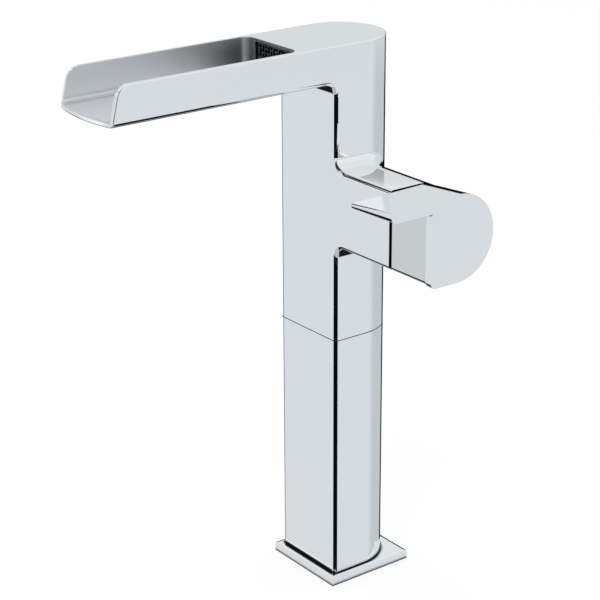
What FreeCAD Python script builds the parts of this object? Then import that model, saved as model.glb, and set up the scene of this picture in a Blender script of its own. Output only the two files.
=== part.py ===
"""Tall waterfall basin faucet with a side handle.

Origin: centre of the underside of the base plate. +Z is up, the spout points
to -Y and the neck with its handle points to +X. All lengths are millimetres.
"""
import FreeCAD, Part
import math
import os
import Sketcher

DIMENSIONS = [
    # base plate and its fixing to the deck
    ("plate_side", 55.0),
    ("plate_height", 5.5),
    ("bevel_width", 1.6),
    ("bevel_height", 0.5),
    ("rib_height", 2.0),
    ("foot_radius", 19.4),
    ("foot_height", 14.0),
    ("foot_flange_radius", 22.0),
    ("foot_flange_height", 2.0),
    ("hose_spacing", 16.0),
    ("hose_hole_radius", 5.6),
    ("stud_spacing", 26.0),
    ("stud_thread_radius", 2.5),
    ("stud_thread_depth", 10.0),
    ("deck_seal_radius", 26.0),
    ("deck_seal_width", 2.0),
    ("deck_seal_height", 1.6),
    # riser and upper column, both with a flat front and a round back
    ("half_width", 24.7),
    ("front_depth", 23.8),
    ("round_offset", 2.0),
    ("column_corner", 2.6),
    ("wall", 2.6),
    ("riser_height", 142.9),
    ("seal_thickness", 0.5),
    ("seal_inset", 0.4),
    ("seal_width", 1.8),
    ("spigot_height", 18.0),
    ("spigot_wall", 1.8),
    ("body_height", 164.0),
    ("ceiling_drop", 28.6),
    ("port_radius", 4.46),
    ("port_depth", 12.0),
    ("duct_radius", 3.4),
    # tie rods through the riser
    ("rod_radius", 2.0),
    ("rod_side", 11.5),
    ("rod_depth", 8.5),
    ("rod_grip", 9.0),
    ("nut_radius", 3.9),
    ("nut_height", 3.2),
    ("nut_recess", 5.0),
    ("nut_clearance", 0.3),
    # open spout
    ("spout_reach", 162.6),
    ("spout_height", 20.6),
    ("lip_bow", 3.1),
    ("lip_setback", 5.1),
    ("lip_round", 8.0),
    ("channel_wall", 2.6),
    ("channel_floor", 3.0),
    ("channel_corner", 6.0),
    ("channel_fillet", 2.6),
    ("cover_edge", 45.5),
    ("cover_thickness", 1.6),
    ("top_round", 0.6),
    ("under_blend", 6.5),
    ("neck_blend", 6.5),
    ("core_rise", 25.4),
    # water grid
    ("frame_setback", 0.6),
    ("frame_depth", 2.4),
    ("frame_bar", 1.2),
    ("grid_depth", 0.8),
    ("grid_columns", 12),
    ("grid_rows", 6),
    ("grid_wire", 0.45),
    ("mesh_seal_depth", 1.0),
    ("mouth_step", 1.4),
    # side neck and cartridge
    ("neck_reach", 69.1),
    ("neck_height", 43.2),
    ("neck_drop", 88.4),
    ("neck_round_offset", 4.0),
    ("cartridge_seat", 26.0),
    ("bore_radius", 17.4),
    ("fit", 0.1),
    ("overshoot", 10.0),
    ("cup_wall", 2.0),
    ("cup_length", 30.0),
    ("cup_front", 4.0),
    ("base_thickness", 4.0),
    ("inlet_radius", 2.8),
    ("outlet_rise", 8.5),
    ("inlet_drop", 4.5),
    ("ring_width", 1.4),
    ("ring_depth", 1.2),
    ("disc_thickness", 3.5),
    ("disc_clearance", 0.4),
    ("carrier_length", 6.0),
    ("stem_radius", 7.0),
    ("stem_foot_radius", 10.0),
    ("stem_foot_length", 4.0),
    ("tail_radius", 5.0),
    ("tail_length", 28.0),
    ("groove_depth", 1.1),
    ("groove_width", 1.6),
    ("groove_setback", 2.8),
    ("limit_radius", 11.2),
    ("limit_length", 2.5),
    ("nut_bore_radius", 11.4),
    ("ring_nut_length", 7.0),
    ("notch_width", 3.0),
    ("notch_depth", 2.2),
    ("notch_count", 6),
    ("collar_radius", 16.5),
    ("collar_wall", 1.5),
    ("collar_flange", 1.6),
    ("collar_overlap", 1.0),
    # handle
    ("handle_gap", 2.0),
    ("handle_length", 31.4),
    ("end_plate", 4.5),
    ("end_radius", 23.7),
    ("end_axis_back", 2.0),
    ("end_axis_rise", 1.1),
    ("blade_reach", 50.5),
    ("blade_underside", 17.7),
    ("blade_drop", 0.9),
    ("nose_round", 0.7),
    ("nose_edge", 2.1),
    ("nose_edge_end", 3.8),
    ("plate_corner", 3.2),
    ("hub_setback", 0.3),
    ("hub_edge", 2.6),
    ("hub_foot", 3.5),
    ("hub_recess_radius", 16.9),
    ("hub_recess_depth", 1.6),
    ("adapter_radius", 9.0),
    ("adapter_length", 18.0),
    ("adapter_flange_radius", 10.6),
    ("adapter_flange_length", 1.5),
    ("clamp_radius", 2.5),
    ("clamp_length", 9.0),
    ("clamp_position", 9.0),
    ("plug_length", 2.5),
    ("screw_radius", 1.5),
    ("screw_offset", 13.4),
    ("screw_head_radius", 2.7),
    ("screw_head_length", 2.0),
    ("screw_grip", 3.0),
]


class Size:
    """A length together with the sheet formula that gives it."""

    def __init__(self, value, text):
        self.value = float(value)
        self.text = text

    def __add__(self, other):
        return combined(self, "+", other)

    def __radd__(self, other):
        return combined(other, "+", self)

    def __sub__(self, other):
        return combined(self, "-", other)

    def __mul__(self, other):
        return combined(self, "*", other)

    def __rmul__(self, other):
        return combined(other, "*", self)

    def __truediv__(self, other):
        return combined(self, "/", other)

    def __neg__(self):
        return combined(-1, "*", self)


def as_size(value):
    return value if isinstance(value, Size) else Size(value, repr(float(value)))


def combined(first, sign, second):
    first = as_size(first)
    second = as_size(second)
    if sign == "+":
        value = first.value + second.value
    elif sign == "-":
        value = first.value - second.value
    elif sign == "*":
        value = first.value * second.value
    else:
        value = first.value / second.value
    return Size(value, "(%s %s %s)" % (first.text, sign, second.text))


class Dimensions:
    """The sheet's cells, each under its own name."""

    def __init__(self, sheet, table):
        for row, (name, value) in enumerate(table, 1):
            sheet.set("A%d" % row, name)
            sheet.set("B%d" % row, str(value))
            sheet.setAlias("B%d" % row, name)
            setattr(self, name, Size(value, "Sizes." + name))


doc = FreeCAD.newDocument("waterfall_faucet")
sizes_sheet = doc.addObject("Spreadsheet::Sheet", "Sizes")
d = Dimensions(sizes_sheet, DIMENSIONS)
doc.recompute()

# Heights of the stack above the deck.
riser_bottom = d.plate_height + d.seal_thickness
riser_top = riser_bottom + d.riser_height
body_bottom = riser_top + d.seal_thickness
body_top = body_bottom + d.body_height
spout_bottom = body_top - d.spout_height
channel_floor = spout_bottom + d.channel_floor
cover_bottom = body_top - d.cover_thickness
axis_y = -d.neck_round_offset
axis_z = body_top - d.neck_drop
ceiling = axis_z - d.ceiling_drop
core_floor = axis_z + d.core_rise
core_top = body_top - d.wall

# The open channel and the mouth that holds the water grid.
channel_half = d.half_width - d.channel_wall
mouth_half = channel_half - d.channel_corner

# Places of the cartridge pieces along the neck.
cup_start = d.cartridge_seat + d.base_thickness
stem_start = cup_start + d.disc_thickness * 2 + d.carrier_length
cup_end = cup_start + d.cup_length
nut_end = cup_end + d.ring_nut_length
collar_end = d.neck_reach + d.handle_gap + d.collar_overlap
handle_start = d.neck_reach + d.handle_gap
handle_end = handle_start + d.handle_length
hub_end = handle_end - d.end_plate
recess_floor = handle_start + d.hub_recess_depth
mouth_depth = d.frame_setback + d.frame_depth + d.mesh_seal_depth


# ---------------------------------------------------------------- helpers

def new_body(name):
    body = doc.addObject("PartDesign::Body", name)
    body.Label = name
    return body


def new_sketch(body, name, role, height=None):
    """Empty sketch on one of the body's own planes, moved along its normal."""
    sketch = body.newObject("Sketcher::SketchObject", name)
    plane = [item for item in body.Origin.OriginFeatures if item.Role == role][0]
    sketch.AttachmentSupport = [(plane, "")]
    sketch.MapMode = "FlatFace"
    if height is not None:
        sketch.setExpression("AttachmentOffset.Base.z", height.text)
    return sketch


def bind(sketch, constraint, size):
    index = sketch.addConstraint(constraint)
    sketch.setExpression("Constraints[%d]" % index, size.text)


def pin_point(sketch, edge, end, place):
    """Fix one end of an edge at a place measured from the sketch's origin."""
    across, along = place
    if not isinstance(across, Size):
        sketch.addConstraint(Sketcher.Constraint("PointOnObject", edge, end, -2))
    else:
        bind(sketch, Sketcher.Constraint("DistanceX", -1, 1, edge, end, across.value), across)
    if not isinstance(along, Size):
        sketch.addConstraint(Sketcher.Constraint("PointOnObject", edge, end, -1))
    else:
        bind(sketch, Sketcher.Constraint("DistanceY", -1, 1, edge, end, along.value), along)


def number(value):
    return value.value if isinstance(value, Size) else float(value)


def add_outline(sketch, corners, arcs=None):
    """Closed line through corners given counter-clockwise.

    arcs gives the centre of each side that bulges outwards, by the side's number.
    """
    arcs = arcs or {}
    points = [FreeCAD.Vector(number(x), number(y), 0) for x, y in corners]
    edges = []
    for side, start in enumerate(points):
        end = points[(side + 1) % len(points)]
        if side in arcs:
            centre = FreeCAD.Vector(number(arcs[side][0]), number(arcs[side][1]), 0)
            circle = Part.Circle(centre, FreeCAD.Vector(0, 0, 1), start.distanceToPoint(centre))
            first = math.atan2(start.y - centre.y, start.x - centre.x)
            last = math.atan2(end.y - centre.y, end.x - centre.x)
            if last <= first:
                last += 2 * math.pi
            edges.append(sketch.addGeometry(Part.ArcOfCircle(circle, first, last)))
        else:
            edges.append(sketch.addGeometry(Part.LineSegment(start, end)))
    for side, edge in enumerate(edges):
        following = edges[(side + 1) % len(edges)]
        sketch.addConstraint(Sketcher.Constraint("Coincident", edge, 2, following, 1))
        pin_point(sketch, edge, 1, corners[side])
    for side, (across, along) in arcs.items():
        chord = points[(side + 1) % len(points)] - points[side]
        upright = abs(chord.y) > abs(chord.x)
        kind, size = ("DistanceX", across) if upright else ("DistanceY", along)
        bind(sketch, Sketcher.Constraint(kind, -1, 1, edges[side], 3, size.value), size)


def add_rectangle(sketch, left, bottom, right, top):
    add_outline(sketch, [(left, bottom), (right, bottom), (right, top), (left, top)])


def add_circle(sketch, across, along, radius):
    centre = FreeCAD.Vector(number(across), number(along), 0)
    circle = Part.Circle(centre, FreeCAD.Vector(0, 0, 1), radius.value)
    edge = sketch.addGeometry(circle)
    bind(sketch, Sketcher.Constraint("Radius", edge, radius.value), radius)
    pin_point(sketch, edge, 3, (across, along))


def add_column_outline(sketch, inset=None):
    """The column's plan: flat front, straight sides and half-round back."""
    half = d.half_width if inset is None else d.half_width - inset
    front = -d.front_depth if inset is None else inset - d.front_depth
    side_end = -d.round_offset
    corners = [(-half, front), (half, front), (half, side_end), (-half, side_end)]
    add_outline(sketch, corners, {2: (0, side_end)})


def pad(body, name, sketch, length, along_normal=True):
    feature = body.newObject("PartDesign::Pad", name)
    feature.Profile = sketch
    feature.setExpression("Length", length.text)
    feature.Reversed = not along_normal
    return feature


def pocket(body, name, sketch, depth, along_normal=False):
    feature = body.newObject("PartDesign::Pocket", name)
    feature.Profile = sketch
    feature.setExpression("Length", depth.text)
    feature.Reversed = along_normal
    return feature


def on_plane(edge, axis, level):
    """True when the whole edge lies at one level of the axis."""
    box = edge.BoundBox
    low = getattr(box, axis + "Min")
    high = getattr(box, axis + "Max")
    return abs(low - number(level)) < 0.02 and abs(high - number(level)) < 0.02


def round_edges(body, name, radius, chosen, kind="PartDesign::Fillet"):
    """Fillet or bevel the edges of the body that a test picks."""
    doc.recompute()
    base = body.Tip
    names = ["Edge%d" % number for number, edge in enumerate(base.Shape.Edges, 1) if chosen(edge)]
    if not names:
        raise RuntimeError("no edge found for " + name)
    feature = body.newObject(kind, name)
    feature.Base = (base, names)
    feature.setExpression("Size" if kind.endswith("Chamfer") else "Radius", radius.text)
    return feature


def turned(name, profile, start):
    """Body turned about a line through the neck's axis; profile gives (x, radius)."""
    body = new_body(name)
    sketch = new_sketch(body, name + "_profile", "XZ_Plane")
    add_outline(sketch, profile)
    feature = body.newObject("PartDesign::Revolution", name + "_turn")
    feature.Profile = sketch
    feature.ReferenceAxis = (sketch, ["H_Axis"])
    feature.Angle = 360
    place(body, start, axis_y, axis_z)
    return body


def place(body, x=None, y=None, z=None):
    for axis, size in (("x", x), ("y", y), ("z", z)):
        if size is not None:
            body.setExpression("Placement.Base." + axis, size.text)


def ring_profile(start, inner, end, outer):
    return [(start, inner), (end, inner), (end, outer), (start, outer)]


# ---------------------------------------------------------------- foot

def make_base_plate():
    """Square plate with a bevelled rim, a rib that locates the riser and the foot's recess."""
    body = new_body("base_plate")
    half = d.plate_side / 2
    outline = new_sketch(body, "plate_outline", "XY_Plane")
    add_rectangle(outline, -half, -half, half, half)
    pad(body, "plate", outline, d.plate_height)
    bevel = round_edges(body, "plate_edge", d.bevel_height,
                        lambda edge: on_plane(edge, "Z", d.plate_height), "PartDesign::Chamfer")
    bevel.ChamferType = "Two distances"
    bevel.setExpression("Size2", d.bevel_width.text)
    rib = new_sketch(body, "rib_outline", "XY_Plane", d.plate_height)
    add_column_outline(rib, d.wall + d.fit)
    pad(body, "rib", rib, d.rib_height)
    hole = new_sketch(body, "foot_hole_outline", "XY_Plane", d.plate_height + d.rib_height)
    add_circle(hole, 0, 0, d.foot_radius + d.fit)
    pocket(body, "foot_hole", hole, d.plate_height + d.rib_height)
    recess = new_sketch(body, "recess_outline", "XY_Plane")
    add_circle(recess, 0, 0, d.foot_flange_radius + d.fit)
    pocket(body, "recess", recess, d.foot_flange_height, along_normal=True)
    groove = new_sketch(body, "groove_outline", "XY_Plane")
    add_circle(groove, 0, 0, d.deck_seal_radius)
    add_circle(groove, 0, 0, d.deck_seal_radius - d.deck_seal_width)
    pocket(body, "seal_groove", groove, d.deck_seal_height, along_normal=True)


def make_deck_seal():
    """Square-section ring in the underside of the plate."""
    body = new_body("deck_seal")
    outline = new_sketch(body, "deck_seal_outline", "XY_Plane")
    add_circle(outline, 0, 0, d.deck_seal_radius - d.fit / 2)
    add_circle(outline, 0, 0, d.deck_seal_radius - d.deck_seal_width + d.fit / 2)
    pad(body, "deck_seal_ring", outline, d.deck_seal_height)


def make_foot_insert():
    """Brass insert: flange under the plate, two hose holes, two stud threads, two rod holes."""
    body = new_body("foot_insert")
    flange = new_sketch(body, "flange_outline", "XY_Plane")
    add_circle(flange, 0, 0, d.foot_flange_radius)
    pad(body, "flange", flange, d.foot_flange_height)
    barrel = new_sketch(body, "barrel_outline", "XY_Plane")
    add_circle(barrel, 0, 0, d.foot_radius)
    pad(body, "barrel", barrel, d.foot_height)
    through = new_sketch(body, "through_holes", "XY_Plane", d.foot_height)
    for side in (-1, 1):
        add_circle(through, 0, d.hose_spacing / 2 * side, d.hose_hole_radius)
        add_circle(through, d.rod_side * side, d.rod_depth * side, d.rod_radius + d.fit)
    pocket(body, "through_cut", through, d.foot_height)
    threads = new_sketch(body, "stud_threads", "XY_Plane")
    for side in (-1, 1):
        add_circle(threads, d.stud_spacing / 2 * side, 0, d.stud_thread_radius)
    pocket(body, "stud_cut", threads, d.stud_thread_depth, along_normal=True)
    recesses = new_sketch(body, "nut_recesses", "XY_Plane")
    for side in (-1, 1):
        add_circle(recesses, d.rod_side * side, d.rod_depth * side,
                   d.nut_radius + d.nut_clearance)
    pocket(body, "nut_cut", recesses, d.nut_recess, along_normal=True)


def make_tie_rod(name, side):
    """Plain rod from the foot's nut up into the casting's ceiling."""
    body = new_body(name)
    bottom = d.nut_recess - d.nut_height
    section = new_sketch(body, name + "_section", "XY_Plane")
    add_circle(section, 0, 0, d.rod_radius)
    pad(body, name + "_rod", section, ceiling + d.rod_grip - bottom)
    place(body, d.rod_side * side, d.rod_depth * side, bottom)


def make_tie_nut(name, side):
    """Hexagon nut under the foot's inner shoulder."""
    body = new_body(name)
    section = new_sketch(body, name + "_section", "XY_Plane")
    half = d.nut_radius / 2
    flat = half * math.sqrt(3)
    add_outline(section, [(d.nut_radius, 0), (half, flat), (-half, flat),
                          (-d.nut_radius, 0), (-half, -flat), (half, -flat)])
    add_circle(section, 0, 0, d.rod_radius + d.fit / 2)
    pad(body, name + "_hexagon", section, d.nut_height)
    place(body, d.rod_side * side, d.rod_depth * side, d.nut_recess - d.nut_height)


def make_column_seal(name, height):
    """Thin gasket that follows the column's outline, set back a little from its faces."""
    body = new_body(name)
    outline = new_sketch(body, name + "_outline", "XY_Plane", height)
    add_column_outline(outline, d.seal_inset)
    add_column_outline(outline, d.seal_inset + d.seal_width)
    pad(body, name + "_ring", outline, d.seal_thickness)


def front_corner(edge):
    """The two upright edges at the front of the column."""
    upright = on_plane(edge, "X", d.half_width) or on_plane(edge, "X", -d.half_width)
    return upright and on_plane(edge, "Y", -d.front_depth)


def make_riser():
    """Hollow riser between plate and casting."""
    body = new_body("riser_column")
    outline = new_sketch(body, "riser_outline", "XY_Plane", riser_bottom)
    add_column_outline(outline)
    pad(body, "riser", outline, d.riser_height)
    round_edges(body, "riser_corners", d.column_corner, front_corner)
    bore = new_sketch(body, "riser_bore", "XY_Plane", riser_top)
    add_column_outline(bore, d.wall)
    pocket(body, "riser_hollow", bore, d.riser_height)


def make_joint_spigot():
    """Ring that lines up riser and casting, half its height in each."""
    body = new_body("joint_spigot")
    middle = riser_top + d.seal_thickness / 2 - d.spigot_height / 2
    outline = new_sketch(body, "spigot_outline", "XY_Plane", middle)
    add_column_outline(outline, d.wall + d.fit / 2)
    add_column_outline(outline, d.wall + d.fit / 2 + d.spigot_wall)
    pad(body, "spigot", outline, d.spigot_height)


# ---------------------------------------------------------------- casting

def add_neck_outline(sketch, axis, level, radius, front):
    """Side view of neck: flat front, level top and bottom, round back."""
    corners = [(front, level - radius), (axis, level - radius),
               (axis, level + radius), (front, level + radius)]
    add_outline(sketch, corners, {1: (axis, level)})


def make_body_casting():
    """Column, spout and neck in one casting, open along the spout and cored inside."""
    body = new_body("body_casting")
    column = new_sketch(body, "column_outline", "XY_Plane", body_bottom)
    add_column_outline(column)
    pad(body, "column", column, d.body_height)
    neck = new_sketch(body, "neck_outline", "YZ_Plane")
    add_neck_outline(neck, axis_y, axis_z, d.neck_height / 2, -d.front_depth)
    pad(body, "neck", neck, d.neck_reach)
    add_spout(body)
    add_blends(body)
    hollow_spout(body)
    hollow_column(body)
    bore_neck(body)


def add_spout(body):
    """Spout bar; its bowed front leans back towards the top."""
    outline = new_sketch(body, "spout_outline", "XY_Plane", spout_bottom)
    corner = d.lip_bow - d.spout_reach
    bow_radius = (d.half_width * d.half_width + d.lip_bow * d.lip_bow) / (d.lip_bow * 2)
    add_outline(outline,
                [(-d.half_width, corner), (d.half_width, corner),
                 (d.half_width, -d.round_offset - d.lip_setback),
                 (-d.half_width, -d.round_offset - d.lip_setback)],
                {0: (0, bow_radius - d.spout_reach)})
    spout = pad(body, "spout", outline, d.spout_height)
    spout.UseCustomVector = True
    spout.AlongSketchNormal = True
    spout.Direction = FreeCAD.Vector(0, d.lip_setback.value, d.spout_height.value)
    spout.setExpression("Direction.y", d.lip_setback.text)
    spout.setExpression("Direction.z", d.spout_height.text)


def add_blends(body):
    """Hollow blends first, then the long rounded edges that run through them."""
    neck_radius = d.neck_height.value / 2

    def neck_root(edge):
        middle = edge.valueAt((edge.FirstParameter + edge.LastParameter) / 2)
        if middle.x > d.half_width.value + 0.05 or middle.x < 1:
            return False
        if middle.y < axis_y.value:
            return abs(abs(middle.z - axis_z.value) - neck_radius) < 0.05
        reach = math.hypot(middle.y - axis_y.value, middle.z - axis_z.value)
        return abs(reach - neck_radius) < 0.05

    round_edges(body, "spout_blend", d.under_blend,
                lambda edge: on_plane(edge, "Z", spout_bottom)
                and on_plane(edge, "Y", -d.front_depth))
    round_edges(body, "neck_root_blend", d.neck_blend, neck_root)
    round_edges(body, "long_edges", d.column_corner, long_edge)
    round_edges(body, "lip_edge", d.lip_round,
                lambda edge: on_plane(edge, "Z", body_top)
                and edge.BoundBox.YMax < -d.cover_edge.value)
    round_edges(body, "top_edges", d.top_round, top_edge)


def long_edge(edge):
    """Rounded chain: spout's lower side edges, column corners and the neck's front edges."""
    box = edge.BoundBox
    if on_plane(edge, "Y", -d.front_depth):
        ends = [on_plane(edge, "Z", body_bottom), on_plane(edge, "X", d.neck_reach),
                on_plane(edge, "Z", spout_bottom - d.under_blend)]
        return not any(ends)
    side = on_plane(edge, "X", d.half_width) or on_plane(edge, "X", -d.half_width)
    return side and box.YMax < 0.01 - d.front_depth.value and box.ZMax < spout_bottom.value + 0.02


def top_edge(edge):
    """Outer rim of the top face and the lip's upright edges."""
    box = edge.BoundBox
    if on_plane(edge, "Z", body_top):
        return box.YMax - box.YMin > 1
    side = on_plane(edge, "X", d.half_width) or on_plane(edge, "X", -d.half_width)
    return side and box.YMax < -d.cover_edge.value and box.ZMax > spout_bottom.value + 1


def hollow_spout(body):
    """Open channel with hollow corners, the mouth for the water grid and the chamber behind."""
    closed = d.cover_edge + d.channel_corner
    channel = new_sketch(body, "channel_outline", "XY_Plane", body_top)
    add_outline(channel,
                [(-channel_half, -d.spout_reach - d.overshoot),
                 (channel_half, -d.spout_reach - d.overshoot), (channel_half, -closed),
                 (mouth_half, -d.cover_edge), (-mouth_half, -d.cover_edge),
                 (-channel_half, -closed)],
                {2: (mouth_half, -closed), 4: (-mouth_half, -closed)})
    pocket(body, "channel", channel, d.spout_height - d.channel_floor)
    round_edges(body, "channel_corners", d.channel_fillet, channel_side)
    mouth = new_sketch(body, "mouth_outline", "XZ_Plane", d.cover_edge + d.channel_fillet)
    add_rectangle(mouth, -mouth_half, channel_floor, mouth_half, cover_bottom)
    pocket(body, "mouth", mouth, mouth_depth + d.channel_fillet)
    throat = new_sketch(body, "throat_outline", "XZ_Plane", d.cover_edge - mouth_depth)
    add_rectangle(throat, d.mouth_step - mouth_half, channel_floor + d.mouth_step,
                  mouth_half - d.mouth_step, cover_bottom - d.mouth_step)
    pocket(body, "throat", throat, d.wall)
    chamber_start = d.cover_edge - mouth_depth - d.wall
    chamber = new_sketch(body, "chamber_outline", "XZ_Plane", chamber_start)
    add_rectangle(chamber, -channel_half, channel_floor, channel_half, core_top)
    pocket(body, "chamber", chamber, chamber_start - d.front_depth + d.wall * 2)
    core = new_sketch(body, "core_outline", "XY_Plane", core_top)
    add_column_outline(core, d.wall)
    pocket(body, "core", core, core_top - core_floor)


def channel_side(edge):
    """Straight lower edges of the channel; the fillet runs on round its closed end."""
    side = on_plane(edge, "X", channel_half) or on_plane(edge, "X", -channel_half)
    return side and on_plane(edge, "Z", channel_floor)


def hollow_column(body):
    """Space for the hoses, their two threaded ports and the tie rods' threads."""
    hollow = new_sketch(body, "hollow_outline", "XY_Plane", body_bottom)
    add_column_outline(hollow, d.wall)
    pocket(body, "hollow", hollow, ceiling - body_bottom, along_normal=True)
    ports = new_sketch(body, "port_outline", "XY_Plane", ceiling)
    rises = new_sketch(body, "rise_outline", "XY_Plane", ceiling)
    threads = new_sketch(body, "rod_threads", "XY_Plane", ceiling)
    for side in (-1, 1):
        add_circle(ports, 0, d.hose_spacing / 2 * side, d.port_radius)
        add_circle(rises, 0, d.hose_spacing / 2 * side, d.duct_radius)
        add_circle(threads, d.rod_side * side, d.rod_depth * side, d.rod_radius + d.fit / 2)
    pocket(body, "ports", ports, d.port_depth, along_normal=True)
    pocket(body, "rises", rises, axis_z - d.inlet_drop - ceiling, along_normal=True)
    pocket(body, "rod_cut", threads, d.rod_grip + d.rod_radius / 2, along_normal=True)


def bore_neck(body):
    """Bore for the cartridge and the ducts behind its three openings."""
    bore = new_sketch(body, "bore_outline", "YZ_Plane", d.neck_reach)
    add_circle(bore, axis_y, axis_z, d.bore_radius)
    pocket(body, "cartridge_bore", bore, d.neck_reach - d.cartridge_seat)
    ducts = new_sketch(body, "duct_outline", "YZ_Plane", d.cartridge_seat)
    for across, rise in duct_places():
        add_circle(ducts, axis_y + across, axis_z + rise, d.duct_radius)
    pocket(body, "ducts", ducts, d.cartridge_seat)
    outlet = new_sketch(body, "outlet_outline", "XY_Plane", core_floor)
    add_circle(outlet, 0, axis_y, d.duct_radius)
    pocket(body, "outlet", outlet, d.core_rise - d.outlet_rise)


def duct_places():
    """The two inlets and the outlet, measured from the cartridge's axis."""
    return [(-d.hose_spacing / 2, -d.inlet_drop), (d.hose_spacing / 2, -d.inlet_drop),
            (0, d.outlet_rise)]


# ---------------------------------------------------------------- water grid

def make_mesh_frame():
    """Frame with a thin rear lip that the grid lies against."""
    body = new_body("mesh_frame")
    half = mouth_half - d.fit
    bottom = channel_floor + d.fit
    top = cover_bottom - d.fit
    front = d.cover_edge - d.frame_setback
    outline = new_sketch(body, "frame_outline", "XZ_Plane", front)
    add_rectangle(outline, -half, bottom, half, top)
    pad(body, "frame", outline, d.frame_depth, along_normal=False)
    rebate = new_sketch(body, "rebate_outline", "XZ_Plane", front)
    add_rectangle(rebate, d.frame_bar / 2 - half, bottom + d.frame_bar / 2,
                  half - d.frame_bar / 2, top - d.frame_bar / 2)
    pocket(body, "rebate", rebate, d.frame_depth / 2)
    window = new_sketch(body, "window_outline", "XZ_Plane", front)
    add_rectangle(window, d.frame_bar - half, bottom + d.frame_bar,
                  half - d.frame_bar, top - d.frame_bar)
    pocket(body, "window", window, d.frame_depth)


def make_flow_mesh():
    """Flat grid: one square hole repeated across and up."""
    body = new_body("flow_mesh")
    half = mouth_half - d.fit * 2 - d.frame_bar / 2
    bottom = channel_floor + d.fit * 2 + d.frame_bar / 2
    top = cover_bottom - d.fit * 2 - d.frame_bar / 2
    back = d.cover_edge - d.frame_setback - d.frame_depth / 2
    plate = new_sketch(body, "grid_outline", "XZ_Plane", back)
    add_rectangle(plate, -half, bottom, half, top)
    pad(body, "grid_plate", plate, d.grid_depth)
    rim = d.frame_bar / 2
    across = (half * 2 - rim * 2 + d.grid_wire) / d.grid_columns
    up = (top - bottom - rim * 2 + d.grid_wire) / d.grid_rows
    left = rim - half
    hole = new_sketch(body, "grid_hole", "XZ_Plane", back)
    add_rectangle(hole, left, bottom + rim, left + across - d.grid_wire,
                  bottom + rim + up - d.grid_wire)
    cut = pocket(body, "grid_cut", hole, d.grid_depth, along_normal=True)
    doc.recompute()
    pattern = body.newObject("PartDesign::LinearPattern", "grid_pattern")
    pattern.Originals = [cut]
    pattern.Direction = (hole, ["H_Axis"])
    pattern.Direction2 = (hole, ["V_Axis"])
    pattern.setExpression("Length", (across * (d.grid_columns - 1)).text)
    pattern.setExpression("Length2", (up * (d.grid_rows - 1)).text)
    pattern.setExpression("Occurrences", d.grid_columns.text)
    pattern.setExpression("Occurrences2", d.grid_rows.text)
    body.Tip = pattern


def make_mesh_seal():
    """Flat gasket between the frame and the step in the chamber's mouth."""
    body = new_body("mesh_seal")
    half = mouth_half - d.fit
    outline = new_sketch(body, "mesh_seal_outline", "XZ_Plane", d.cover_edge - mouth_depth)
    add_rectangle(outline, -half, channel_floor + d.fit, half, cover_bottom - d.fit)
    add_rectangle(outline, d.mouth_step - half, channel_floor + d.fit + d.mouth_step,
                  half - d.mouth_step, cover_bottom - d.fit - d.mouth_step)
    pad(body, "mesh_seal_ring", outline, d.mesh_seal_depth)


# ---------------------------------------------------------------- cartridge

def bore_water_holes(body, name, thickness):
    """Two inlets and one outlet through a disc of the cartridge."""
    holes = new_sketch(body, name + "_holes", "YZ_Plane", thickness)
    for across, rise in duct_places():
        add_circle(holes, across, rise, d.inlet_radius)
    pocket(body, name + "_cut", holes, thickness)


def make_cartridge_base():
    """Bottom disc with a seal seat round each opening."""
    body = turned("cartridge_base", ring_profile(0, 0, d.base_thickness, d.bore_radius - d.fit),
                  d.cartridge_seat)
    bore_water_holes(body, "base", d.base_thickness)
    seats = new_sketch(body, "seal_seats", "YZ_Plane")
    for across, rise in duct_places():
        add_circle(seats, across, rise, d.inlet_radius + d.ring_width + d.fit / 2)
    pocket(body, "seats", seats, d.ring_depth, along_normal=True)


def make_water_seal(name, across, rise):
    """Ring between the cartridge's base and the bottom of the bore."""
    body = new_body(name)
    outline = new_sketch(body, name + "_outline", "YZ_Plane")
    add_circle(outline, 0, 0, d.inlet_radius + d.ring_width)
    add_circle(outline, 0, 0, d.inlet_radius)
    pad(body, name + "_ring", outline, d.ring_depth)
    place(body, d.cartridge_seat, axis_y + across, axis_z + rise)


def make_cartridge():
    """Fixed cup and discs, and the stem that turns the upper disc."""
    outer = d.bore_radius - d.fit
    inner = outer - d.cup_wall
    hole = d.stem_radius + d.fit
    turned("cartridge_housing",
           [(0, inner), (d.cup_length - d.cup_front, inner), (d.cup_length - d.cup_front, hole),
            (d.cup_length, hole), (d.cup_length, outer), (0, outer)], cup_start)
    fixed = turned("fixed_disc", ring_profile(0, 0, d.disc_thickness, inner - d.fit), cup_start)
    bore_water_holes(fixed, "disc", d.disc_thickness)
    turning = inner - d.fit - d.disc_clearance
    moving = turned("moving_disc", ring_profile(0, 0, d.disc_thickness, turning),
                    cup_start + d.disc_thickness)
    mixing = new_sketch(moving, "mixing_outline", "YZ_Plane")
    add_circle(mixing, 0, d.outlet_rise / 2, d.outlet_rise - d.inlet_radius / 2)
    pocket(moving, "mixing_recess", mixing, d.disc_thickness / 2, along_normal=True)
    turned("disc_carrier", ring_profile(0, 0, d.carrier_length, turning - d.disc_clearance),
           cup_start + d.disc_thickness * 2)
    make_spindle(cup_end - stem_start)
    turned("spindle_seal",
           ring_profile(d.fit / 2, d.stem_radius - d.groove_depth,
                        d.groove_width - d.fit / 2, d.stem_radius + d.fit / 2),
           cup_end - d.groove_setback)


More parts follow.
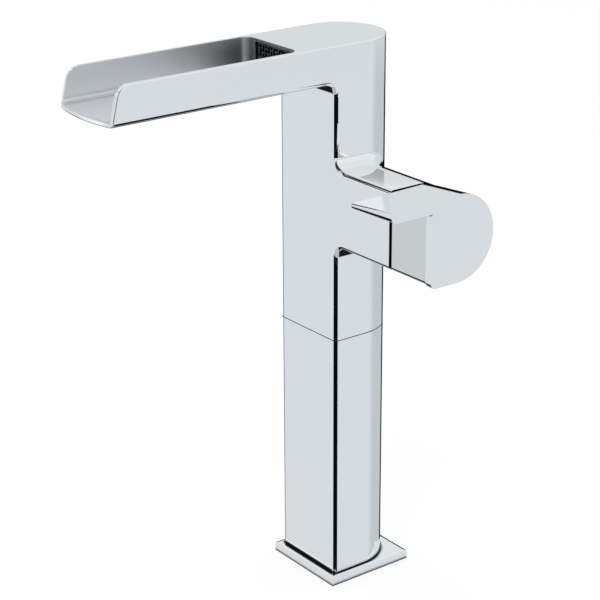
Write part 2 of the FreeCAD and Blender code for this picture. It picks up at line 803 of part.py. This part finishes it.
def make_spindle(shaft):
    """Stem with a foot on the carrier, a seal groove and a thinner tail for the handle."""
    groove = shaft - d.groove_setback
    floor = d.stem_radius - d.groove_depth
    end = shaft + d.tail_length
    turned("spindle",
           [(0, 0), (end, 0), (end, d.tail_radius), (shaft, d.tail_radius),
            (shaft, d.stem_radius), (groove + d.groove_width, d.stem_radius),
            (groove + d.groove_width, floor), (groove, floor), (groove, d.stem_radius),
            (d.stem_foot_length, d.stem_radius), (d.stem_foot_length, d.stem_foot_radius),
            (0, d.stem_foot_radius)], stem_start)


def make_neck_rings():
    """Stop ring, the nut that holds the cartridge, and the chrome collar over it."""
    turned("limit_ring",
           ring_profile(0, d.stem_radius + d.fit * 2, d.limit_length, d.limit_radius), cup_end)
    nut = turned("cartridge_nut",
                 ring_profile(0, d.nut_bore_radius, d.ring_nut_length, d.bore_radius - d.fit / 2),
                 cup_end)
    notch = new_sketch(nut, "notch_outline", "YZ_Plane", d.ring_nut_length)
    add_rectangle(notch, -d.notch_width / 2, d.nut_bore_radius - d.notch_depth,
                  d.notch_width / 2, d.nut_bore_radius + d.notch_depth)
    cut = pocket(nut, "notch", notch, d.ring_nut_length / 2)
    doc.recompute()
    pattern = nut.newObject("PartDesign::PolarPattern", "notch_pattern")
    pattern.Originals = [cut]
    pattern.Axis = (notch, ["N_Axis"])
    pattern.Angle = 360
    pattern.setExpression("Occurrences", d.notch_count.text)
    nut.Tip = pattern
    inner = d.collar_radius - d.collar_wall
    length = collar_end - nut_end
    turned("trim_collar",
           [(0, inner), (length, inner), (length, d.collar_radius),
            (d.collar_flange, d.collar_radius), (d.collar_flange, d.bore_radius - d.fit),
            (0, d.bore_radius - d.fit)], nut_end)


# ---------------------------------------------------------------- handle

def add_lever_outline(sketch, axis, level, radius, nose_edge):
    """End view of the lever: round back, flat front and a blade that reaches forward."""
    front = -d.front_depth
    bottom = level - radius
    underside = axis_z + d.blade_underside
    nose_top = level + radius - d.blade_drop
    tip = -d.blade_reach
    corners = [(front + d.plate_corner, bottom), (axis, bottom), (axis, level + radius),
               (tip + d.nose_round, nose_top), (tip, nose_top - d.nose_round),
               (tip, underside + nose_edge), (tip + nose_edge, underside),
               (front, underside), (front, bottom + d.plate_corner)]
    add_outline(sketch, corners,
                {1: (axis, level), 3: (tip + d.nose_round, nose_top - d.nose_round),
                 5: (tip + nose_edge, underside + nose_edge),
                 8: (front + d.plate_corner, bottom + d.plate_corner)})


def make_lever_cover():
    """Blade, end plate and round back in one piece, wider at its free end."""
    body = new_body("lever_cover")
    near = new_sketch(body, "gap_side", "YZ_Plane", handle_start)
    add_lever_outline(near, axis_y, axis_z, d.neck_height / 2, d.nose_edge)
    far = new_sketch(body, "end_side", "YZ_Plane", handle_end)
    add_lever_outline(far, axis_y - d.end_axis_back, axis_z + d.end_axis_rise, d.end_radius,
                      d.nose_edge_end)
    loft = body.newObject("PartDesign::AdditiveLoft", "lever")
    loft.Profile = near
    loft.Sections = [far]
    loft.Ruled = True
    cavity = new_sketch(body, "cavity_outline", "YZ_Plane", hub_end)
    past = -d.blade_reach - d.overshoot
    add_neck_outline(cavity, axis_y, axis_z, d.blade_underside, past)
    pocket(body, "cavity", cavity, hub_end - handle_start)
    below = new_sketch(body, "below_outline", "YZ_Plane", hub_end)
    add_rectangle(below, past, axis_z - d.end_radius - d.overshoot, axis_y + d.hub_foot, axis_z)
    pocket(body, "below", below, hub_end - handle_start)
    holes = new_sketch(body, "cover_screw_holes", "YZ_Plane", hub_end)
    for side in (-1, 1):
        add_circle(holes, axis_y + d.screw_offset * side, axis_z, d.screw_radius + d.fit / 2)
    pocket(body, "cover_screw_cut", holes, d.screw_grip, along_normal=True)


def make_handle_hub():
    """Block behind the blade, bored for the adapter, the clamp screw and the cover screws."""
    body = new_body("handle_hub")
    outline = new_sketch(body, "hub_outline", "YZ_Plane", handle_start)
    front = d.hub_setback - d.front_depth
    add_neck_outline(outline, axis_y, axis_z, d.blade_underside - d.fit, front)
    pad(body, "hub", outline, hub_end - handle_start)
    foot = new_sketch(body, "hub_foot_outline", "YZ_Plane", handle_start)
    bottom = axis_z - d.neck_height / 2
    add_rectangle(foot, front, bottom, axis_y + d.hub_foot - d.fit, axis_z)
    pad(body, "hub_foot", foot, hub_end - handle_start)
    round_edges(body, "hub_front_edge", d.hub_edge,
                lambda edge: on_plane(edge, "Y", front) and on_plane(edge, "Z", bottom))
    steps = [("hub_recess", handle_start, d.hub_recess_radius, d.hub_recess_depth),
             ("flange_seat", recess_floor, d.adapter_flange_radius + d.fit,
              d.adapter_flange_length),
             ("adapter_bore", recess_floor, d.adapter_radius + d.fit / 2,
              d.adapter_length + d.adapter_flange_length)]
    for name, start, radius, depth in steps:
        sketch = new_sketch(body, name + "_outline", "YZ_Plane", start)
        add_circle(sketch, axis_y, axis_z, radius)
        pocket(body, name, sketch, depth, along_normal=True)
    heads = new_sketch(body, "head_outline", "YZ_Plane", recess_floor)
    holes = new_sketch(body, "hub_screw_holes", "YZ_Plane", recess_floor)
    for side in (-1, 1):
        across = axis_y + d.screw_offset * side
        add_circle(heads, across, axis_z, d.screw_head_radius + d.fit)
        add_circle(holes, across, axis_z, d.screw_radius + d.fit)
    pocket(body, "head_seats", heads, d.screw_head_length, along_normal=True)
    pocket(body, "hub_screw_cut", holes, hub_end - recess_floor, along_normal=True)
    clamp = new_sketch(body, "clamp_outline", "XY_Plane", bottom)
    add_circle(clamp, handle_start + d.clamp_position, axis_y, d.clamp_radius + d.fit / 2)
    pocket(body, "clamp_hole", clamp, d.neck_height / 2, along_normal=True)


def make_handle_fixings():
    """Adapter on the spindle's tail, clamp screw with its plug, and the cover screws."""
    adapter = turned("spindle_adapter",
                     [(0, d.tail_radius + d.fit / 2), (d.adapter_length, d.tail_radius + d.fit / 2),
                      (d.adapter_length, d.adapter_radius),
                      (d.adapter_flange_length, d.adapter_radius),
                      (d.adapter_flange_length, d.adapter_flange_radius),
                      (0, d.adapter_flange_radius)], recess_floor)
    below = d.adapter_radius + d.overshoot
    hole = new_sketch(adapter, "adapter_hole_outline", "XY_Plane", -below)
    add_circle(hole, d.clamp_position - d.hub_recess_depth, 0, d.clamp_radius + d.fit / 2)
    pocket(adapter, "adapter_hole", hole, below, along_normal=True)
    tip = axis_z - d.tail_radius
    for name, start, length in (("set_screw", tip - d.clamp_length, d.clamp_length),
                                ("set_screw_plug", axis_z - d.neck_height / 2, d.plug_length)):
        body = new_body(name)
        section = new_sketch(body, name + "_section", "XY_Plane")
        add_circle(section, 0, 0, d.clamp_radius)
        pad(body, name + "_shank", section, length)
        place(body, handle_start + d.clamp_position, axis_y, start)
    shank = hub_end - recess_floor + d.screw_grip - d.fit
    for name, side in (("cover_screw_front", -1), ("cover_screw_back", 1)):
        body = turned(name,
                      [(0, 0), (shank, 0), (shank, d.screw_radius),
                       (d.screw_head_length, d.screw_radius),
                       (d.screw_head_length, d.screw_head_radius), (0, d.screw_head_radius)],
                      recess_floor)
        place(body, y=axis_y + d.screw_offset * side)


# ---------------------------------------------------------------- build

def check(bodies):
    """Stop at any failed object, empty or broken shape, or cut that removes nothing."""
    for item in doc.Objects:
        if "Invalid" in item.State or "Error" in item.State:
            raise RuntimeError("failed: " + item.Name)
    for body in bodies:
        if body.Shape.isNull() or not body.Shape.isValid() or len(body.Shape.Solids) != 1:
            raise RuntimeError("bad shape: " + body.Label)
        for item in body.Group:
            if item.TypeId in ("PartDesign::Pocket", "PartDesign::Groove"):
                if item.Shape.Volume > item.BaseFeature.Shape.Volume - 1e-3:
                    raise RuntimeError("cuts nothing: " + item.Name)


def main():
    make_base_plate()
    make_deck_seal()
    make_foot_insert()
    make_tie_rod("tie_rod_left", -1)
    make_tie_rod("tie_rod_right", 1)
    make_tie_nut("tie_nut_left", -1)
    make_tie_nut("tie_nut_right", 1)
    make_column_seal("foot_seal", d.plate_height)
    make_riser()
    make_joint_spigot()
    make_column_seal("joint_seal", riser_top)
    make_body_casting()
    make_mesh_frame()
    make_flow_mesh()
    make_mesh_seal()
    make_cartridge_base()
    for name, (across, rise) in zip(("inlet_seal_front", "inlet_seal_back", "outlet_seal"),
                                    duct_places()):
        make_water_seal(name, across, rise)
    make_cartridge()
    make_neck_rings()
    make_lever_cover()
    make_handle_hub()
    make_handle_fixings()
    doc.recompute()
    bodies = [item for item in doc.Objects if item.TypeId == "PartDesign::Body"]
    check(bodies)
    os.makedirs("parts", exist_ok=True)
    for body in bodies:
        body.Shape.exportStep(os.path.join("parts", body.Label + ".step"))
        print(body.Label, round(body.Shape.Volume), body.Shape.BoundBox)


main()
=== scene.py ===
import math
import bmesh
import bpy
from mathutils import Matrix, Vector


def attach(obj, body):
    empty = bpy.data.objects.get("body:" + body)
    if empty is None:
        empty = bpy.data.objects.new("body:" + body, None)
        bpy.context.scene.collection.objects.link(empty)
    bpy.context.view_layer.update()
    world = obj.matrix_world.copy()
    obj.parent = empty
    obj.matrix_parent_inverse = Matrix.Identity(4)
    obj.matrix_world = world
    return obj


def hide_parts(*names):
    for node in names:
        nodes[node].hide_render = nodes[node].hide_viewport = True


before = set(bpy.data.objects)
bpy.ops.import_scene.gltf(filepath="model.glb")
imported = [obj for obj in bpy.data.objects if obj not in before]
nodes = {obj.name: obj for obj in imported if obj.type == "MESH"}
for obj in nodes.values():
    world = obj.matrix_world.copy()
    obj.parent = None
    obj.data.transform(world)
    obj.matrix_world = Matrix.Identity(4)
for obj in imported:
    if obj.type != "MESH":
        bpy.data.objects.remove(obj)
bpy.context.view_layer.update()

scene = bpy.context.scene

# ------------------------------------------------------------------ camera
# The faucet stands on the deck at the origin. The lens and the place were fitted by the
# photograph's straight edges, which the picture comes near but doesn't meet everywhere.
turn, lift, roll = math.radians(52.92), math.radians(21.03), math.radians(-0.28)
right = Vector((math.cos(turn), math.sin(turn), 0))
back = Vector((math.sin(turn) * math.cos(lift), -math.cos(turn) * math.cos(lift), math.sin(lift)))
up = back.cross(right)
rolled_right = math.cos(roll) * right + math.sin(roll) * up
rolled_up = -math.sin(roll) * right + math.cos(roll) * up
camera_data = bpy.data.cameras.new("camera")
camera_data.sensor_width = 36
camera_data.lens = 113.27
camera = bpy.data.objects.new("camera", camera_data)
scene.collection.objects.link(camera)
turned = Matrix((rolled_right, rolled_up, back)).transposed().to_4x4()
camera.matrix_world = Matrix.Translation((0.7732, -0.6135, 0.5400)) @ turned
scene.camera = camera
scene.view_settings.view_transform = "Standard"

# ------------------------------------------------------------------ studio
# A white deck in a white room, as the camera sees it. Mirror rays are shown a pattern of
# pale screens and black card instead, fitted to the photograph in its one view.
# The deck and the lamps are hidden from reflections.


def start_material(name):
    material = bpy.data.materials.new(name)
    material.use_nodes = True
    tree = material.node_tree
    tree.nodes.clear()
    return material, tree


def add_node(tree, kind, inputs=None, **settings):
    node = tree.nodes.new(kind)
    for key, value in settings.items():
        setattr(node, key, value)
    for key, value in (inputs or {}).items():
        if isinstance(value, bpy.types.NodeSocket):
            tree.links.new(value, node.inputs[key])
        else:
            node.inputs[key].default_value = value
    return node


def add_math(tree, operation, first, second=0.0, third=0.0):
    node = add_node(tree, "ShaderNodeMath", {0: first, 1: second, 2: third},
                    operation=operation)
    return node.outputs[0]


def multiply(tree, first, second):
    return add_math(tree, "MULTIPLY", first, second)


def ramp(tree, value, low, high, start=0.0, end=1.0):
    """start below low, end above high, and a smooth step between."""
    node = add_node(tree, "ShaderNodeMapRange",
                    {"Value": value, "From Min": low, "From Max": high,
                     "To Min": start, "To Max": end}, interpolation_type="SMOOTHSTEP")
    return node.outputs[0]


def between(tree, value, low, high, softness):
    """1 where the value lies between low and high, fading to 0 outside them."""
    rise = ramp(tree, value, low - softness, low)
    return multiply(tree, rise, ramp(tree, value, high, high + softness, 1.0, 0.0))


def blend_colour(tree, factor, first, second):
    node = add_node(tree, "ShaderNodeMix", {"Factor": factor, "A": first, "B": second},
                    data_type="RGBA")
    return node.outputs["Result"]


def screen(tree, direction, heading, half_width, softness):
    """1 within half_width degrees of the heading, fading to 0 over softness degrees."""
    flat = add_node(tree, "ShaderNodeVectorMath", {0: direction, 1: (1, 1, 0)},
                    operation="MULTIPLY")
    unit = add_node(tree, "ShaderNodeVectorMath", {0: flat.outputs[0]}, operation="NORMALIZE")
    toward = (math.cos(math.radians(heading)), math.sin(math.radians(heading)), 0)
    along = add_node(tree, "ShaderNodeVectorMath", {0: unit.outputs[0], 1: toward},
                     operation="DOT_PRODUCT")
    angle = add_math(tree, "ARCCOSINE", along.outputs["Value"])
    return ramp(tree, angle, math.radians(half_width), math.radians(half_width + softness),
                1.0, 0.0)


world = bpy.data.worlds.new("studio")
scene.world = world
world.use_nodes = True
tree = world.node_tree
tree.nodes.clear()
path = add_node(tree, "ShaderNodeLightPath")
way = add_node(tree, "ShaderNodeTexCoord").outputs["Generated"]
height = add_node(tree, "ShaderNodeSeparateXYZ", {0: way}).outputs["Z"]

# Headings below are degrees from +X towards +Y. Heights are Z of the unit direction.
black = (0.003, 0.003, 0.004, 1)
steep_black = (0.010, 0.011, 0.012, 1)
near_black = (0.03, 0.032, 0.035, 1)
charcoal = (0.10, 0.105, 0.11, 1)
mid_grey = (0.43, 0.45, 0.46, 1)
floor_grey = (0.50, 0.52, 0.54, 1)
shaded = (0.56, 0.60, 0.62, 1)
pale = (0.72, 0.75, 0.78, 1)
level_pale = (0.70, 0.73, 0.76, 1)
sky_pale = (0.71, 0.74, 0.76, 1)
sky_light = (0.90, 0.92, 0.94, 1)
sky_lighter = (0.94, 0.95, 0.96, 1)
sky_bright = (0.97, 0.96, 0.96, 1)
sky_top = (0.80, 0.83, 0.85, 1)

# Under the horizon: pale screens with black between them.
low = blend_colour(tree, screen(tree, way, -130, 20, 6), black, pale)
side = blend_colour(tree, screen(tree, way, 25, 22, 22), shaded, pale)
low = blend_colour(tree, screen(tree, way, 57, 52, 8), low, side)
low = blend_colour(tree, screen(tree, way, 171, 15, 5), low, pale)
far = screen(tree, way, 143, 20, 10)
not_far = add_math(tree, "SUBTRACT", 1.0, far)
level = multiply(tree, ramp(tree, height, -0.255, -0.20), not_far)
low = blend_colour(tree, level, low, level_pale)
# A pale band, there only so that other sides aren't black all over.
band_height = between(tree, height, -0.322, -0.304, 0.004)
band = multiply(tree, screen(tree, way, -52, 70, 8), band_height)
low = blend_colour(tree, band, low, pale)
steep = blend_colour(tree, screen(tree, way, 127, 92, 10), floor_grey, steep_black)
low = blend_colour(tree, ramp(tree, height, -0.535, -0.490), steep, low)

# Over the horizon: a pale sky with one bright strip and three darker cards.
sky = blend_colour(tree, screen(tree, way, 37, 30, 20), sky_pale, sky_light)
sky = blend_colour(tree, screen(tree, way, -145, 14, 10), sky, sky_lighter)
high = blend_colour(tree, between(tree, height, 0.306, 0.34, 0.006), sky, sky_bright)
high = blend_colour(tree, ramp(tree, height, 0.36, 0.50), high, sky_top)
grey_height = between(tree, height, 0.274, 0.2985, 0.003)
grey_card = multiply(tree, screen(tree, way, 70, 56, 8), grey_height)
high = blend_colour(tree, grey_card, high, mid_grey)
high = blend_colour(tree, screen(tree, way, -80, 25, 14), high, near_black)
card_height = between(tree, height, 0.20, 0.58, 0.06)
card = multiply(tree, screen(tree, way, -152, 14, 8), card_height)
high = blend_colour(tree, card, high, charcoal)

# The horizon is level, but stands a little higher at the far side.
horizon = ramp(tree, height, -0.03, 0.03)
raised = ramp(tree, height, 0.095, 0.12)
lift_there = multiply(tree, far, add_math(tree, "SUBTRACT", raised, horizon))
horizon = add_math(tree, "ADD", horizon, lift_there)
mirrored = blend_colour(tree, horizon, low, high)
white = (1, 1, 1, 1)
seen = blend_colour(tree, path.outputs["Is Glossy Ray"], white, mirrored)
backdrop = add_node(tree, "ShaderNodeBackground", {"Color": seen, "Strength": 1.0})
add_node(tree, "ShaderNodeOutputWorld", {"Surface": backdrop.outputs[0]})

material, tree = start_material("deck_white")
path = add_node(tree, "ShaderNodeLightPath")
# The camera sees the deck mostly as plain white, and other rays see white paper.
glow_share = 0.80
paper = add_node(tree, "ShaderNodeBsdfDiffuse", {"Color": (0.90, 0.90, 0.90, 1)})
glow = add_node(tree, "ShaderNodeEmission", {"Color": white, "Strength": 1.0})
mixed = add_node(tree, "ShaderNodeMixShader",
                 {0: glow_share, 1: paper.outputs[0], 2: glow.outputs[0]})
shown = add_node(tree, "ShaderNodeMixShader",
                 {0: path.outputs["Is Camera Ray"], 1: paper.outputs[0], 2: mixed.outputs[0]})
add_node(tree, "ShaderNodeOutputMaterial", {"Surface": shown.outputs[0]})
deck_mesh = bpy.data.meshes.new("deck")
shape = bmesh.new()
deck_radius = 6.0
bmesh.ops.create_circle(shape, cap_ends=True, radius=deck_radius, segments=96)
shape.to_mesh(deck_mesh)
shape.free()
deck_mesh.materials.append(material)
deck = bpy.data.objects.new("deck", deck_mesh)
scene.collection.objects.link(deck)
deck.visible_glossy = False

aim = Vector((0, 0, 0.15))
for name, spot, power in (("key_light", (0.9, -1.3, 1.7), 14),
                          ("fill_light", (-1.4, -0.5, 1.2), 6)):
    lamp = bpy.data.lights.new(name, "AREA")
    lamp.size = 1.2
    lamp.energy = power
    light = bpy.data.objects.new(name, lamp)
    scene.collection.objects.link(light)
    light.location = spot
    light.rotation_euler = (Vector(spot) - aim).to_track_quat("Z", "Y").to_euler()
    light.visible_glossy = False

# ------------------------------------------------------------------ metal
# The faucet's outer pieces are cast and drawn brass, polished and chrome plated. The hub
# is plated too; its greyer metal was chosen for its tone in the picture.


def object_place(tree):
    return add_node(tree, "ShaderNodeTexCoord").outputs["Object"]


def buffed(tree, roughness, wander):
    """Roughness that wanders a little, as buffing leaves it."""
    cloud = add_node(tree, "ShaderNodeTexNoise",
                     {"Vector": object_place(tree), "Scale": 38.0, "Detail": 3.0})
    node = add_node(tree, "ShaderNodeMapRange",
                    {"Value": cloud.outputs["Fac"], "From Min": 0.3, "From Max": 0.7,
                     "To Min": roughness, "To Max": roughness + wander})
    return node.outputs[0]


def painted_corner_shade(tree, tone, reach):
    """The tone darkened in inner corners within reach: painted shade."""
    open_air = add_node(tree, "ShaderNodeAmbientOcclusion", {"Distance": reach}, samples=8)
    darkest_at, clear_at = 0.62, 0.90
    corner_shade = ramp(tree, open_air.outputs["AO"], darkest_at, clear_at, 1.0, 0.0)
    corner_shade_tone = (0.05, 0.052, 0.055, 1)
    return blend_colour(tree, corner_shade, tone, corner_shade_tone)


def plated_metal(name, colour, roughness, wander, reach=0.003):
    """Bare or plated metal whose gloss wanders a little from buffing, with painted shade in its
    inner corners.
    """
    material, tree = start_material(name)
    # The base colour carries painted shade in inner corners.
    shader = add_node(tree, "ShaderNodeBsdfPrincipled",
                      {"Base Color": painted_corner_shade(tree, colour, reach), "Metallic": 1.0,
                       "Roughness": buffed(tree, roughness, wander)})
    add_node(tree, "ShaderNodeOutputMaterial", {"Surface": shader.outputs[0]})
    return material


def finish_node(name, material):
    mesh = nodes[name].data
    mesh.materials.clear()
    mesh.materials.append(material)


chrome_tone, chrome_roughness, chrome_wander = (0.93, 0.94, 0.95, 1), 0.02, 0.03
chrome = plated_metal("chrome_plate", chrome_tone, chrome_roughness, chrome_wander)
for name in ("base_plate", "riser_column", "trim_collar", "lever_cover"):
    finish_node(name, chrome)
finish_node("handle_hub", plated_metal("hub_chrome", (0.76, 0.80, 0.78, 1), 0.05, 0.04))

# ------------------------------------------------------------------ casting
# Column, neck and spout are one chrome-plated casting. The water channel inside the
# spout is satin, its floor a little more so and greyer, and its closed end darkened by
# painted shade. All of these were chosen for their tone in the picture.
material, tree = start_material("casting_chrome")
at = add_node(tree, "ShaderNodeSeparateXYZ", {0: object_place(tree)}).outputs
# Metres over which each limit of the channel fades.
channel_side = (0.02215, 0.02235)
channel_bottom = (0.2948, 0.2950)
channel_rim = (0.31320, 0.31330)
channel_end = (-0.0440, -0.0430)
floor_edge = (0.2960, 0.2975)
end_shade = (-0.052, -0.0455)
across = add_math(tree, "ABSOLUTE", at["X"])
within = multiply(tree, ramp(tree, across, *channel_side, 1.0, 0.0),
                  ramp(tree, at["Z"], *channel_bottom))
within = multiply(tree, within, ramp(tree, at["Z"], *channel_rim, 1.0, 0.0))
within = multiply(tree, within, ramp(tree, at["Y"], *channel_end, 1.0, 0.0))
floor = multiply(tree, within, ramp(tree, at["Z"], *floor_edge, 1.0, 0.0))
channel_satin, floor_satin = 0.30, 0.05
gloss = add_math(tree, "ADD", buffed(tree, chrome_roughness, chrome_wander),
                 multiply(tree, within, channel_satin))
gloss = add_math(tree, "ADD", gloss, multiply(tree, floor, floor_satin))
floor_tone, end_shade_tone = (0.78, 0.79, 0.81, 1), (0.30, 0.31, 0.315, 1)
tone = blend_colour(tree, floor, chrome_tone, floor_tone)
# Painted shade: the channel darkens towards its closed end.
painted_end_shade = multiply(tree, within, ramp(tree, at["Y"], *end_shade))
tone = blend_colour(tree, painted_end_shade, tone, end_shade_tone)
# The base colour also carries painted shade in the casting's inner corners.
shader = add_node(tree, "ShaderNodeBsdfPrincipled",
                  {"Base Color": painted_corner_shade(tree, tone, reach=0.0045), "Metallic": 1.0,
                   "Roughness": gloss})
add_node(tree, "ShaderNodeOutputMaterial", {"Surface": shader.outputs[0]})
finish_node("body_casting", material)

# ------------------------------------------------------------------ seals
# Thin black gaskets and rings of moulded rubber. They lie pressed between plate, riser,
# casting, grid frame and cartridge, in the plate's underside and round the spindle.
material, tree = start_material("black_rubber")
grain = add_node(tree, "ShaderNodeTexNoise",
                 {"Vector": object_place(tree), "Scale": 900.0, "Detail": 4.0})
tone = add_node(tree, "ShaderNodeMapRange",
                {"Value": grain.outputs["Fac"], "To Min": 0.55, "To Max": 0.8})
shader = add_node(tree, "ShaderNodeBsdfPrincipled",
                  {"Base Color": (0.012, 0.012, 0.014, 1), "Roughness": tone.outputs[0]})
add_node(tree, "ShaderNodeOutputMaterial", {"Surface": shader.outputs[0]})
for name in ("deck_seal", "foot_seal", "joint_seal", "mesh_seal", "inlet_seal_front",
             "inlet_seal_back", "outlet_seal", "spindle_seal"):
    finish_node(name, material)

# ------------------------------------------------------------------ hidden fittings
# Turned brass, plain steel, white moulded plastic and lapped ceramic inside the faucet,
# and the grey cap of the set screw. All of them are screwed, pressed or stacked in place.
brass = plated_metal("turned_brass", (0.72, 0.56, 0.28, 1), 0.22, 0.12)
for name in ("foot_insert", "cartridge_nut", "joint_spigot", "spindle_adapter"):
    finish_node(name, brass)
steel = plated_metal("plain_steel", (0.60, 0.61, 0.62, 1), 0.25, 0.12)
for name in ("tie_rod_left", "tie_rod_right", "tie_nut_left", "tie_nut_right", "set_screw",
             "cover_screw_front", "cover_screw_back"):
    finish_node(name, steel)


def moulded(name, colour, roughness, spread=0.06):
    """Plastic or ceramic whose roughness varies by the spread to either side."""
    material, tree = start_material(name)
    cloud = add_node(tree, "ShaderNodeTexNoise",
                     {"Vector": object_place(tree), "Scale": 260.0, "Detail": 3.0})
    tone = add_node(tree, "ShaderNodeMapRange",
                    {"Value": cloud.outputs["Fac"], "To Min": roughness - spread,
                     "To Max": roughness + spread})
    shader = add_node(tree, "ShaderNodeBsdfPrincipled",
                      {"Base Color": colour, "Roughness": tone.outputs[0]})
    add_node(tree, "ShaderNodeOutputMaterial", {"Surface": shader.outputs[0]})
    return material


plastic = moulded("white_plastic", (0.80, 0.80, 0.78, 1), 0.42)
for name in ("cartridge_base", "cartridge_housing", "disc_carrier", "limit_ring", "spindle"):
    finish_node(name, plastic)
ceramic = moulded("lapped_ceramic", (0.86, 0.85, 0.82, 1), 0.16)
for name in ("fixed_disc", "moving_disc"):
    finish_node(name, ceramic)
finish_node("set_screw_plug", moulded("grey_cap", (0.45, 0.47, 0.50, 1), 0.25))

# ------------------------------------------------------------------ water grid
# Dark steel wire that calms the water where it leaves the covered chamber. Its rim sits
# in the thin frame in the mouth, with a gasket behind. That it is woven is a guess.
grid_metal = plated_metal("dark_grid", (0.07, 0.07, 0.075, 1), 0.30, 0.10)
finish_node("mesh_frame", grid_metal)
cloth_metal = plated_metal("dark_cloth", (0.30, 0.30, 0.31, 1), 0.30, 0.10, reach=0.0001)
finish_node("flow_mesh", cloth_metal)

cloth = bpy.data.node_groups.new("wire_cloth", "GeometryNodeTree")
cloth_sizes = {"Width": 0.0302, "Height": 0.0140, "Pitch": 0.0024, "Wire": 0.0004}
for label in cloth_sizes:
    cloth.interface.new_socket(name=label, in_out="INPUT", socket_type="NodeSocketFloat")
cloth.interface.new_socket(name="Geometry", in_out="OUTPUT", socket_type="NodeSocketGeometry")
given = add_node(cloth, "NodeGroupInput").outputs
half_wire = multiply(cloth, given["Wire"], 0.5)
round_wire = add_node(cloth, "GeometryNodeCurvePrimitiveCircle",
                      {"Resolution": 5, "Radius": half_wire})
turn_rate = add_math(cloth, "DIVIDE", math.pi, given["Pitch"])
position = add_node(cloth, "GeometryNodeInputPosition").outputs[0]
place = add_node(cloth, "ShaderNodeSeparateXYZ", {0: position})
wave_x = add_math(cloth, "COSINE", multiply(cloth, place.outputs["X"], turn_rate))
wave_z = add_math(cloth, "COSINE", multiply(cloth, place.outputs["Z"], turn_rate))
wave = multiply(cloth, multiply(cloth, wave_x, wave_z), half_wire)
parts = []
just_under_half, piece_share, rim_share = 0.49, 0.125, 0.9
for span, length, axis, along, side_sign in (("Width", "Height", "X", "Z", 1.0),
                                             ("Height", "Width", "Z", "X", -1.0)):
    room = multiply(cloth, given[span], just_under_half)
    steps = add_math(cloth, "FLOOR", add_math(cloth, "DIVIDE", room, given["Pitch"]))
    first = multiply(cloth, steps, multiply(cloth, given["Pitch"], -1.0))
    count = add_math(cloth, "MULTIPLY_ADD", steps, 2.0, 1.0)
    start = add_node(cloth, "ShaderNodeCombineXYZ", {axis: first})
    step = add_node(cloth, "ShaderNodeCombineXYZ", {axis: given["Pitch"]})
    row = add_node(cloth, "GeometryNodeMeshLine",
                   {"Count": count, "Start Location": start.outputs[0], "Offset": step.outputs[0]})
    half = multiply(cloth, given[length], 0.5)
    ends = [add_node(cloth, "ShaderNodeCombineXYZ", {along: end}).outputs[0]
            for end in (multiply(cloth, half, -1.0), half)]
    line = add_node(cloth, "GeometryNodeCurvePrimitiveLine", {"Start": ends[0], "End": ends[1]})
    piece_length = multiply(cloth, given["Pitch"], piece_share)
    fine = add_node(cloth, "GeometryNodeResampleCurve",
                    {"Curve": line.outputs[0],
                     "Count": add_math(cloth, "DIVIDE", given[length], piece_length)})
    wires = add_node(cloth, "GeometryNodeInstanceOnPoints",
                     {"Points": row.outputs[0], "Instance": fine.outputs[0]})
    loose = add_node(cloth, "GeometryNodeRealizeInstances", {0: wires.outputs[0]})
    sway = add_node(cloth, "ShaderNodeCombineXYZ", {"Y": multiply(cloth, wave, side_sign)})
    woven = add_node(cloth, "GeometryNodeSetPosition",
                     {"Geometry": loose.outputs[0], "Offset": sway.outputs[0]})
    tube = add_node(cloth, "GeometryNodeCurveToMesh",
                    {"Curve": woven.outputs[0], "Profile Curve": round_wire.outputs[0],
                     "Fill Caps": True})
    parts.append(tube.outputs[0])
border = add_node(cloth, "GeometryNodeCurvePrimitiveQuadrilateral",
                  {"Width": given["Width"], "Height": given["Height"]})
bead = add_node(cloth, "GeometryNodeCurvePrimitiveCircle",
                {"Resolution": 8, "Radius": multiply(cloth, given["Wire"], rim_share)})
rim = add_node(cloth, "GeometryNodeCurveToMesh",
               {"Curve": border.outputs[0], "Profile Curve": bead.outputs[0]})
upright = add_node(cloth, "GeometryNodeTransform",
                   {"Geometry": rim.outputs[0], "Rotation": (math.pi / 2, 0, 0)})
parts.append(upright.outputs[0])
joined = add_node(cloth, "GeometryNodeJoinGeometry")
for part in parts:
    cloth.links.new(part, joined.inputs[0])
mouth_centre = (0, -0.0441, 0.3038)
hung = add_node(cloth, "GeometryNodeTransform",
                {"Geometry": joined.outputs[0], "Translation": mouth_centre})
real = add_node(cloth, "GeometryNodeRealizeInstances", {0: hung.outputs[0]})
dressed = add_node(cloth, "GeometryNodeSetMaterial",
                   {"Geometry": real.outputs[0], "Material": cloth_metal})
add_node(cloth, "NodeGroupOutput", {0: dressed.outputs[0]})

holder = bpy.data.objects.new("cloth_holder", bpy.data.meshes.new("cloth_holder"))
scene.collection.objects.link(holder)
weave = holder.modifiers.new("weave", "NODES")
weave.node_group = cloth
for item in cloth.interface.items_tree:
    if item.in_out == "INPUT":
        weave[item.identifier] = cloth_sizes[item.name]
bpy.context.view_layer.update()
evaluated = holder.evaluated_get(bpy.context.evaluated_depsgraph_get())
made = bpy.data.meshes.new_from_object(evaluated)
made.name = "water_grid"
holder.modifiers.remove(weave)
bpy.data.objects.remove(holder)
made.materials.clear()
made.materials.append(cloth_metal)
water_grid = bpy.data.objects.new("water_grid", made)
scene.collection.objects.link(water_grid)
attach(water_grid, "faucet_body")
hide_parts("flow_mesh")
